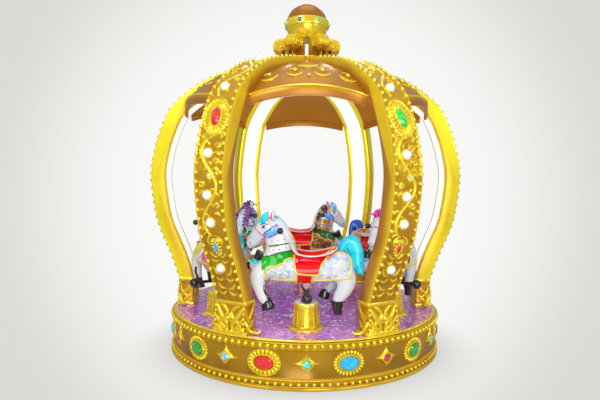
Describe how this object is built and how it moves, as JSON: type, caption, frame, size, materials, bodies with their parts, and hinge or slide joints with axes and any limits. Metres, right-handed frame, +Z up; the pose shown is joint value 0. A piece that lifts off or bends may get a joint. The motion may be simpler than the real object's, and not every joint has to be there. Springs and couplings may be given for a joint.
{
  "type": "fairground crown carousel",
  "caption": "Crown-shaped children's carousel: a turning deck on a round drum, ribs and roof above, and horses that rise and fall on posts.",
  "frame": {"origin": "centre of the drum's underside, on the ground", "axes": "+Z up along the turning axis; -Y is the front, towards the camera of the picture; +X is its right"},
  "size_m": [2.8042, 2.5252, 3.069],
  "materials": {
    "gilded_shell": "antique gold paint on fibreglass",
    "bronze_shell": "bronze gold paint on fibreglass",
    "bright_gold": "bright gold paint on fibreglass",
    "light_cover": "white translucent cover",
    "deck_covering": "pink and violet glitter covering",
    "black_rubber": "black, satin",
    "post_steel": "black painted steel",
    "horse_paint": "gloss paint on fibreglass"
  },
  "bodies": {
    "base": {"drum": "gilded_shell", "slew_bearing": "post_steel"},
    "turntable": {"deck": "deck_covering", "deck_edge_ring": "gilded_shell", "rib_1": "gilded_shell", "rib_2": "gilded_shell", "rib_3": "gilded_shell", "rib_4": "gilded_shell", "rib_5": "gilded_shell", "rib_6": "gilded_shell", "rib_light_strip_1": "light_cover", "rib_light_strip_2": "light_cover", "rib_light_strip_3": "light_cover", "rib_light_strip_4": "light_cover", "rib_light_strip_5": "light_cover", "rib_light_strip_6": "light_cover", "roof_panel_1": "bronze_shell", "roof_panel_2": "bronze_shell", "roof_panel_3": "bronze_shell", "roof_panel_4": "bronze_shell", "roof_panel_5": "bronze_shell", "roof_panel_6": "bronze_shell", "crown_cap": "gilded_shell", "scroll_crown": "gilded_shell", "crown_ball": "bronze_shell", "ball_band": "bright_gold", "pedestal_1": "gilded_shell", "pedestal_2": "gilded_shell", "pedestal_3": "gilded_shell", "pedestal_4": "gilded_shell", "pedestal_5": "gilded_shell", "pedestal_6": "gilded_shell", "post_boot_1": "black_rubber", "post_boot_2": "black_rubber", "post_boot_3": "black_rubber", "post_boot_4": "black_rubber", "post_boot_5": "black_rubber", "post_boot_6": "black_rubber"},
    "horse_1_set": {"horse_1": "horse_paint", "post_and_foot_bar_1": "post_steel", "handle_bar_1": "black_rubber"},
    "horse_2_set": {"horse_2": "horse_paint", "post_and_foot_bar_2": "post_steel", "handle_bar_2": "black_rubber"},
    "horse_3_set": {"horse_3": "horse_paint", "post_and_foot_bar_3": "post_steel", "handle_bar_3": "black_rubber"},
    "horse_4_set": {"horse_4": "horse_paint", "post_and_foot_bar_4": "post_steel", "handle_bar_4": "black_rubber"},
    "horse_5_set": {"horse_5": "horse_paint", "post_and_foot_bar_5": "post_steel", "handle_bar_5": "black_rubber"},
    "horse_6_set": {"horse_6": "horse_paint", "post_and_foot_bar_6": "post_steel", "handle_bar_6": "black_rubber"}
  },
  "joints": [
    {"name": "carousel_turn", "type": "hinge", "parent": "base", "child": "turntable", "pos_m": [0, 0, 0.31], "axis": [0, 0, 1], "continuous": true},
    {"name": "horse_1_rise", "type": "slide", "parent": "turntable", "child": "horse_1_set", "axis": [0, 0, 1], "range_m": [0, 0.08]},
    {"name": "horse_2_rise", "type": "slide", "parent": "turntable", "child": "horse_2_set", "axis": [0, 0, 1], "range_m": [0, 0.08]},
    {"name": "horse_3_rise", "type": "slide", "parent": "turntable", "child": "horse_3_set", "axis": [0, 0, 1], "range_m": [0, 0.08]},
    {"name": "horse_4_rise", "type": "slide", "parent": "turntable", "child": "horse_4_set", "axis": [0, 0, 1], "range_m": [0, 0.08]},
    {"name": "horse_5_rise", "type": "slide", "parent": "turntable", "child": "horse_5_set", "axis": [0, 0, 1], "range_m": [0, 0.08]},
    {"name": "horse_6_rise", "type": "slide", "parent": "turntable", "child": "horse_6_set", "axis": [0, 0, 1], "range_m": [0, 0.08]}
  ]
}
